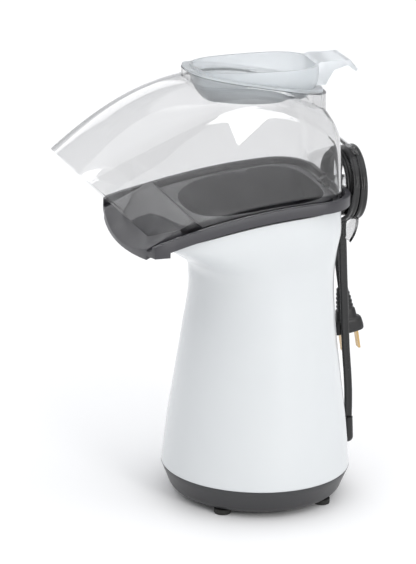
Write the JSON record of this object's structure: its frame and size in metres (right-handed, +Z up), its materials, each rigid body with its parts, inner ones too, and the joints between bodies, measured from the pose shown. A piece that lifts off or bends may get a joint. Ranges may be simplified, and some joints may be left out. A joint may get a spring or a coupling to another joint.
{
  "type": "hot-air popcorn maker",
  "caption": "Hot-air popcorn maker: round white housing on a dark base, dark chute tray, clear hood with spout, lift-out measuring cup and cord wrapped on a hook.",
  "frame": {"origin": "on the surface it stands on, under the middle of the object without its cord", "axes": "+Z up, -Y the way the chute faces, +X to the right seen from the chute's side behind the object"},
  "size_m": [0.144, 0.25, 0.3404],
  "materials": {
    "white_housing": "smooth moulded",
    "dark_base": "smooth moulded",
    "dark_tray": "fine moulded texture",
    "clear_hood": "polished clear plastic",
    "cup": "translucent moulded",
    "rubber": "moulded",
    "cord": "extruded, slightly glossy",
    "plug_metal": "plated",
    "chamber": "spun",
    "steel": "zinc plated",
    "motor_iron": "plated iron",
    "copper": "enamelled wire",
    "mica": "pressed mica",
    "inner_plastic": "glass-filled moulding",
    "fan_plastic": "moulded",
    "board": "phenolic board",
    "bearing": "sintered"
  },
  "bodies": {
    "root": {"outer_housing": "white_housing", "base_cover": "dark_base", "rubber_foot_1": "rubber", "rubber_foot_2": "rubber", "rubber_foot_3": "rubber", "rubber_foot_4": "rubber", "base_screws": "steel", "fan_housing": "inner_plastic", "fan_housing_screws": "steel", "motor_bracket": "steel", "bracket_screws": "steel", "motor_screws": "steel", "motor_can": "motor_iron", "motor_magnets": "motor_iron", "upper_bearing": "bearing", "lower_bearing": "bearing", "motor_end_cap": "inner_plastic", "carbon_brushes": "motor_iron", "rectifier_board": "board", "rectifier_diodes": "inner_plastic", "heater_frame": "mica", "heater_coil": "steel", "air_duct": "steel", "popping_chamber": "chamber", "chamber_gasket": "rubber", "thermostat": "steel", "thermal_fuse": "steel", "chute_tray": "dark_tray", "wire_connectors": "inner_plastic", "cord_gland": "cord", "cord_lead": "cord"},
    "cover": {"clear_cover": "clear_hood", "cord_coil": "cord", "cord_tail": "cord", "plug_body": "cord", "plug_blades": "plug_metal"},
    "cup": {"measuring_cup": "cup"},
    "rotor": {"motor_shaft": "steel", "armature_core": "motor_iron", "lower_winding": "copper", "upper_winding": "copper", "commutator": "copper", "fan_impeller": "fan_plastic"}
  },
  "joints": [
    {"name": "fan_spin", "type": "hinge", "parent": "root", "child": "rotor", "pos_m": [0, 0.0415, 0.06], "axis": [0, 0, 1], "continuous": true},
    {"name": "cover_lift", "type": "slide", "parent": "root", "child": "cover", "axis": [0, 0, 1], "range_m": [0, 0.045]},
    {"name": "cup_lift", "type": "slide", "parent": "cover", "child": "cup", "axis": [0, 0, 1], "range_m": [0, 0.06]}
  ]
}
